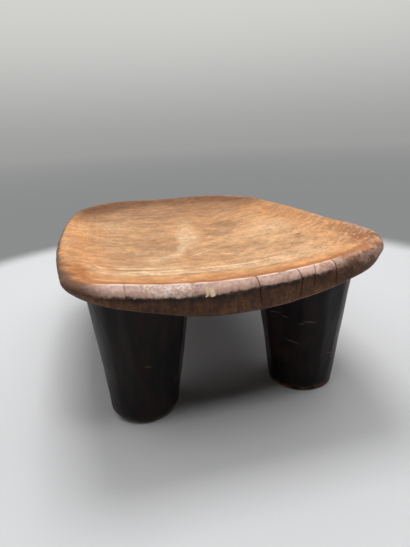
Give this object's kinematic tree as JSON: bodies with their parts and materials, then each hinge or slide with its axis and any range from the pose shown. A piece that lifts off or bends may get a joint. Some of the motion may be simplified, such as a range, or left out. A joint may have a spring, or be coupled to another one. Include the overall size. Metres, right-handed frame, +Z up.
{
  "type": "carved wooden stool",
  "caption": "Low carved wooden stool with a long dished seat, a bevelled rim, a bellied underside and stout tapering legs, for sitting close to the ground.",
  "frame": {"origin": "on the floor, under the middle of the seat", "axes": "+Z up; Y along the seat's length with the pictured end at -Y; +X to the right when that end faces the viewer"},
  "size_m": [0.28, 0.396, 0.1428],
  "materials": {
    "seat_wood": "worn and hand polished, warm tan with a brown rim",
    "leg_wood": "dark, near black, satin"
  },
  "bodies": {
    "root": {"seat": "seat_wood", "front_left_leg": "leg_wood", "front_right_leg": "leg_wood", "back_left_leg": "leg_wood", "back_right_leg": "leg_wood"}
  },
  "joints": []
}
